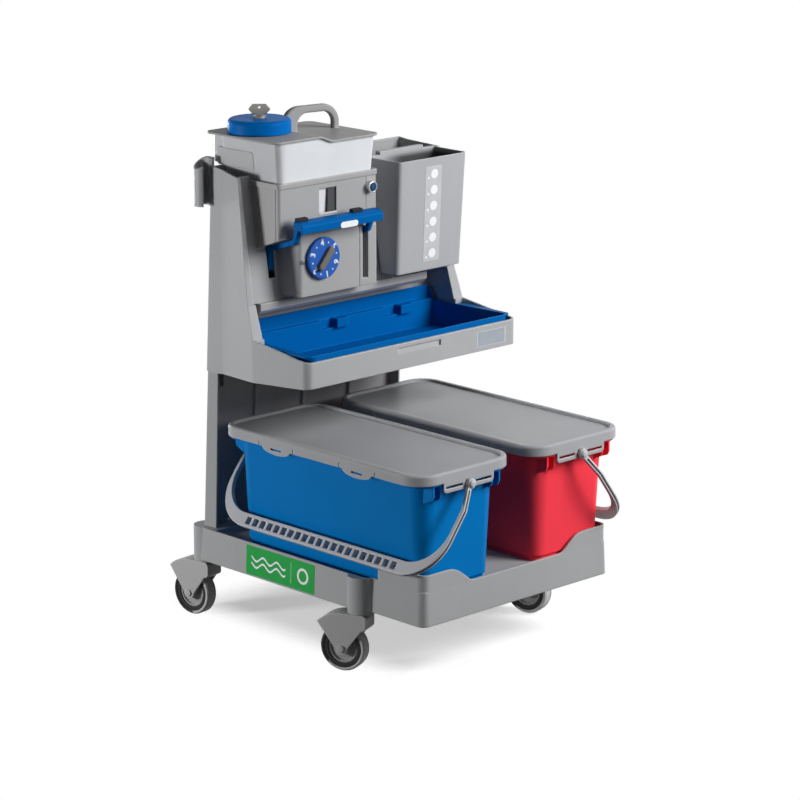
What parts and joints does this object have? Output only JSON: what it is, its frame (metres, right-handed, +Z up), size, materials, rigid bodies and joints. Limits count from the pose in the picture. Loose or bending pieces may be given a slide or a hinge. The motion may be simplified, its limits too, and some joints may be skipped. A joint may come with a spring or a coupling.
{
  "type": "cleaning trolley",
  "caption": "Wheeled cleaning trolley with lidded buckets on a low base and an upright station that holds a solution tank, dosing dial, press lever, bin and mop tray.",
  "frame": {"origin": "middle of the overall box at floor level", "axes": "+X to the right seen from the front, +Y to the back, +Z up"},
  "size_m": [0.591, 0.764, 1.051],
  "materials": {
    "body_grey": "fine grained",
    "panel_grey": "fine grained",
    "lid_grey": "satin",
    "blue": "satin",
    "deep_blue": "gloss",
    "red": "satin",
    "white": "milky",
    "black": "matte",
    "tyre_grey": "matte",
    "steel": "zinc plated",
    "chrome": "bright"
  },
  "bodies": {
    "frame": {"base": "body_grey", "column": "body_grey", "column_screws": "steel", "station_latches": "black", "station_body": "body_grey", "tank_housing": "panel_grey", "dial_housing": "panel_grey", "dosing_chamber": "white", "outlet_bar": "panel_grey", "button_bezel": "chrome", "button_seat": "black", "lever_pins": "steel", "pole_holder": "body_grey", "valve_socket": "black", "castor_stem_front_left": "steel", "castor_stem_front_right": "steel", "castor_stem_rear_left": "steel", "castor_stem_rear_right": "steel"},
    "castor_front_left": {"castor_fork_front_left": "body_grey", "castor_axle_front_left": "body_grey"},
    "wheel_front_left": {"wheel_tyre_front_left": "tyre_grey", "wheel_ring_front_left": "black", "wheel_hub_front_left": "body_grey"},
    "castor_front_right": {"castor_fork_front_right": "body_grey", "castor_axle_front_right": "body_grey"},
    "wheel_front_right": {"wheel_tyre_front_right": "tyre_grey", "wheel_ring_front_right": "black", "wheel_hub_front_right": "body_grey"},
    "castor_rear_left": {"castor_fork_rear_left": "body_grey", "castor_axle_rear_left": "body_grey"},
    "wheel_rear_left": {"wheel_tyre_rear_left": "tyre_grey", "wheel_ring_rear_left": "black", "wheel_hub_rear_left": "body_grey"},
    "castor_rear_right": {"castor_fork_rear_right": "body_grey", "castor_axle_rear_right": "body_grey"},
    "wheel_rear_right": {"wheel_tyre_rear_right": "tyre_grey", "wheel_ring_rear_right": "black", "wheel_hub_rear_right": "body_grey"},
    "tank": {"tank_body": "white", "tank_lid": "lid_grey", "tank_valve": "black"},
    "cap": {"tank_cap": "deep_blue"},
    "key": {"cap_lock": "black", "cap_key": "panel_grey"},
    "tray": {"tray": "deep_blue"},
    "bin": {"bin": "panel_grey"},
    "lever": {"lever": "deep_blue", "lever_pads": "black"},
    "dial": {"dial_knob": "deep_blue", "dial_grip": "body_grey", "dial_shaft": "steel"},
    "button": {"button": "deep_blue"},
    "bucket_blue": {"bucket_blue": "blue"},
    "lid_blue": {"lid_blue": "lid_grey"},
    "bail_blue": {"bail_blue": "lid_grey"},
    "bucket_red": {"bucket_red": "red"},
    "lid_red": {"lid_red": "lid_grey"},
    "bail_red": {"bail_red": "lid_grey"}
  },
  "joints": [
    {"name": "castor_swivel_front_left", "type": "hinge", "parent": "frame", "child": "castor_front_left", "pos_m": [-0.24454, -0.17122, 0.118], "axis": [0, 0, 1], "continuous": true},
    {"name": "wheel_spin_front_left", "type": "hinge", "parent": "castor_front_left", "child": "wheel_front_left", "pos_m": [-0.25803, -0.13784, 0.047], "axis": [0.9272, 0.3746, 0], "continuous": true},
    {"name": "castor_swivel_front_right", "type": "hinge", "parent": "frame", "child": "castor_front_right", "pos_m": [0.26345, -0.17122, 0.118], "axis": [0, 0, 1], "continuous": true},
    {"name": "wheel_spin_front_right", "type": "hinge", "parent": "castor_front_right", "child": "wheel_front_right", "pos_m": [0.25414, -0.13645, 0.047], "axis": [0.9659, 0.2588, 0], "continuous": true},
    {"name": "castor_swivel_rear_left", "type": "hinge", "parent": "frame", "child": "castor_rear_left", "pos_m": [-0.23354, 0.29377, 0.118], "axis": [0, 0, 1], "continuous": true},
    {"name": "wheel_spin_rear_left", "type": "hinge", "parent": "castor_rear_left", "child": "wheel_rear_left", "pos_m": [-0.23793, 0.3295, 0.047], "axis": [0.9925, 0.1219, 0], "continuous": true},
    {"name": "castor_swivel_rear_right", "type": "hinge", "parent": "frame", "child": "castor_rear_right", "pos_m": [0.25245, 0.29377, 0.118], "axis": [0, 0, 1], "continuous": true},
    {"name": "wheel_spin_rear_right", "type": "hinge", "parent": "castor_rear_right", "child": "wheel_rear_right", "pos_m": [0.24807, 0.3295, 0.047], "axis": [0.9925, 0.1219, 0], "continuous": true},
    {"name": "tank_lift", "type": "slide", "parent": "frame", "child": "tank", "axis": [0, 0, 1], "range_m": [0, 0.15]},
    {"name": "cap_turn", "type": "hinge", "parent": "tank", "child": "cap", "pos_m": [-0.17154, 0.19277, 1.024], "axis": [0, 0, 1], "range_deg": [0, 270]},
    {"name": "key_turn", "type": "hinge", "parent": "cap", "child": "key", "pos_m": [-0.17154, 0.19277, 1.024], "axis": [0, 0, 1], "range_deg": [0, 90]},
    {"name": "tray_lift", "type": "slide", "parent": "frame", "child": "tray", "axis": [0, 0, 1], "range_m": [0, 0.036]},
    {"name": "bin_lift", "type": "slide", "parent": "frame", "child": "bin", "axis": [0, 0, 1], "range_m": [0, 0.12]},
    {"name": "lever_press", "type": "hinge", "parent": "frame", "child": "lever", "pos_m": [-0.21154, 0.14077, 0.741], "axis": [1, 0, 0], "range_deg": [0, 15], "stiffness_Nm_per_rad": 2, "springref_deg": -14.32},
    {"name": "dial_turn", "type": "hinge", "parent": "frame", "child": "dial", "pos_m": [-0.12154, 0.07177, 0.758], "axis": [0, -1, 0], "range_deg": [-150, 150]},
    {"name": "button_press", "type": "slide", "parent": "frame", "child": "button", "axis": [0, 1, 0], "range_m": [0, 0.004], "stiffness_N_per_m": 400, "springref_m": -0.004},
    {"name": "bucket_lift_blue", "type": "slide", "parent": "frame", "child": "bucket_blue", "axis": [0, 0, 1], "range_m": [0, 0.045]},
    {"name": "lid_lift_blue", "type": "slide", "parent": "bucket_blue", "child": "lid_blue", "axis": [0, 0, 1], "range_m": [0, 0.03]},
    {"name": "bail_swing_blue", "type": "hinge", "parent": "bucket_blue", "child": "bail_blue", "pos_m": [-0.14404, -0.07398, 0.395], "axis": [0, 1, 0], "range_deg": [0, 80]},
    {"name": "bucket_lift_red", "type": "slide", "parent": "frame", "child": "bucket_red", "axis": [0, 0, 1], "range_m": [0, 0.045]},
    {"name": "lid_lift_red", "type": "slide", "parent": "bucket_red", "child": "lid_red", "axis": [0, 0, 1], "range_m": [0, 0.03]},
    {"name": "bail_swing_red", "type": "hinge", "parent": "bucket_red", "child": "bail_red", "pos_m": [0.16295, -0.07398, 0.395], "axis": [0, -1, 0], "range_deg": [0, 80]}
  ]
}
